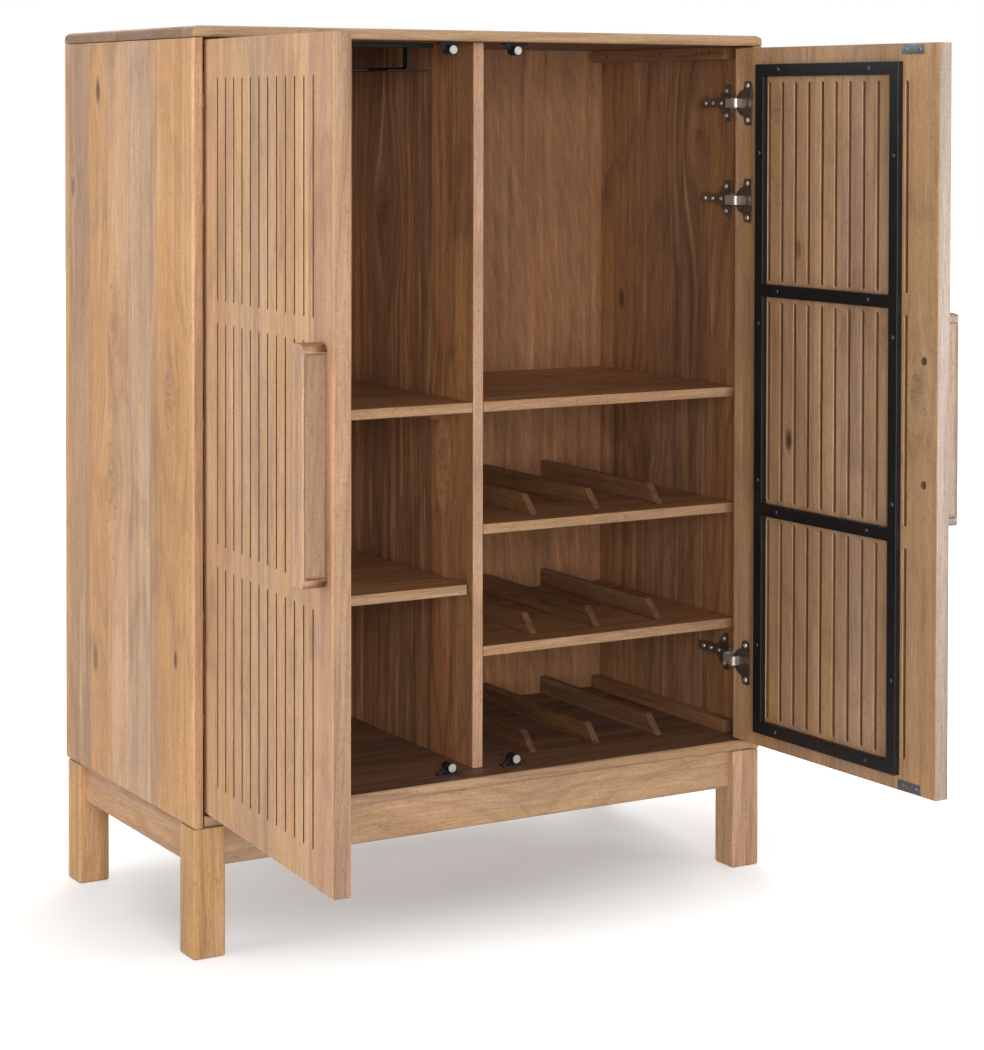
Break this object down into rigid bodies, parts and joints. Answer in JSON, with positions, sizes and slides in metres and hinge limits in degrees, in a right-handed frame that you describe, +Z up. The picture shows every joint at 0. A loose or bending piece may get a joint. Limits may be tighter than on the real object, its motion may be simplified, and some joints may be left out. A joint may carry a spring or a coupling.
{
  "type": "bar cabinet",
  "caption": "Wooden bar cabinet on square legs with slotted hinged doors, full-depth pulls, a stemware rack, shelves and bottle racks.",
  "frame": {"origin": "bottom centre of the bounding box of the cabinet with its doors as pictured, on the floor", "axes": "+Z up, -Y towards the front that the doors close, +X to the right seen from the front"},
  "size_m": [0.9352, 0.835, 1.165],
  "materials": {
    "oiled_wood": "light oiled hardwood with a satin washed surface",
    "interior_wood": "oiled hardwood, darker inside the case",
    "black_steel": "black powder coat, satin",
    "nickel": "dark nickel plate on pressed steel",
    "bright_steel": "bright zinc plated steel",
    "black_plastic": "black moulded plastic"
  },
  "bodies": {
    "root": {"top_panel": "oiled_wood", "side_panel_left": "oiled_wood", "side_panel_right": "oiled_wood", "bottom_panel": "oiled_wood", "leg_front_left": "oiled_wood", "leg_front_right": "oiled_wood", "leg_back_left": "oiled_wood", "leg_back_right": "oiled_wood", "apron_front": "oiled_wood", "apron_back": "oiled_wood", "apron_left": "oiled_wood", "apron_right": "oiled_wood", "back_panel": "interior_wood", "centre_divider": "interior_wood", "shelf_upper_left": "interior_wood", "shelf_upper_right": "interior_wood", "shelf_lower_left": "interior_wood", "wine_shelf_upper": "interior_wood", "wine_shelf_lower": "interior_wood", "shelf_block": "interior_wood", "top_cleat_right": "interior_wood", "floor_cleat_right": "interior_wood", "bottle_divider_upper_1": "interior_wood", "bottle_divider_upper_2": "interior_wood", "bottle_divider_upper_3": "interior_wood", "bottle_divider_lower_1": "interior_wood", "bottle_divider_lower_2": "interior_wood", "bottle_divider_lower_3": "interior_wood", "bottle_divider_floor_1": "interior_wood", "bottle_divider_floor_2": "interior_wood", "bottle_divider_floor_3": "interior_wood", "hinge_arm_left_top": "nickel", "hinge_arm_left_middle": "nickel", "hinge_arm_left_bottom": "nickel", "hinge_arm_right_top": "nickel", "hinge_arm_right_middle": "nickel", "hinge_arm_right_bottom": "nickel", "catch_left_top": "black_plastic", "catch_left_bottom": "black_plastic", "catch_right_top": "black_plastic", "catch_right_bottom": "black_plastic", "stemware_rack": "black_steel"},
    "door_left_body": {"door_left": "oiled_wood", "door_frame_left": "black_steel", "handle_left": "oiled_wood", "hinge_cup_left_top": "nickel", "hinge_cup_left_middle": "nickel", "hinge_cup_left_bottom": "nickel"},
    "hinge_links_left": {"hinge_link_left_top": "bright_steel", "hinge_link_left_middle": "bright_steel", "hinge_link_left_bottom": "bright_steel"},
    "door_right_body": {"door_right": "oiled_wood", "door_frame_right": "black_steel", "handle_right": "oiled_wood", "hinge_cup_right_top": "nickel", "hinge_cup_right_middle": "nickel", "hinge_cup_right_bottom": "nickel"},
    "hinge_links_right": {"hinge_link_right_top": "bright_steel", "hinge_link_right_middle": "bright_steel", "hinge_link_right_bottom": "bright_steel"}
  },
  "joints": [
    {"name": "door_left_hinge", "type": "hinge", "parent": "root", "child": "door_left_body", "pos_m": [-0.40644, -0.00795, 0.665], "axis": [0, 0, -1], "range_deg": [-94, 16]},
    {"name": "door_right_hinge", "type": "hinge", "parent": "root", "child": "door_right_body", "pos_m": [0.41456, -0.00795, 0.665], "axis": [0, 0, 1], "range_deg": [-92.8, 17.2]},
    {"name": "hinge_links_left_pivot", "type": "hinge", "parent": "root", "child": "hinge_links_left", "pos_m": [-0.40294, 0.01405, 0.665], "axis": [0, 0, -1], "range_deg": [-66.8, 11.4]},
    {"name": "hinge_links_right_pivot", "type": "hinge", "parent": "root", "child": "hinge_links_right", "pos_m": [0.41106, 0.01405, 0.665], "axis": [0, 0, 1], "range_deg": [-65.95, 12.25]}
  ],
  "couplings": [
    {"joint": "hinge_links_left_pivot", "follows": "door_left_hinge", "ratio": 0.71},
    {"joint": "hinge_links_right_pivot", "follows": "door_right_hinge", "ratio": 0.71}
  ]
}
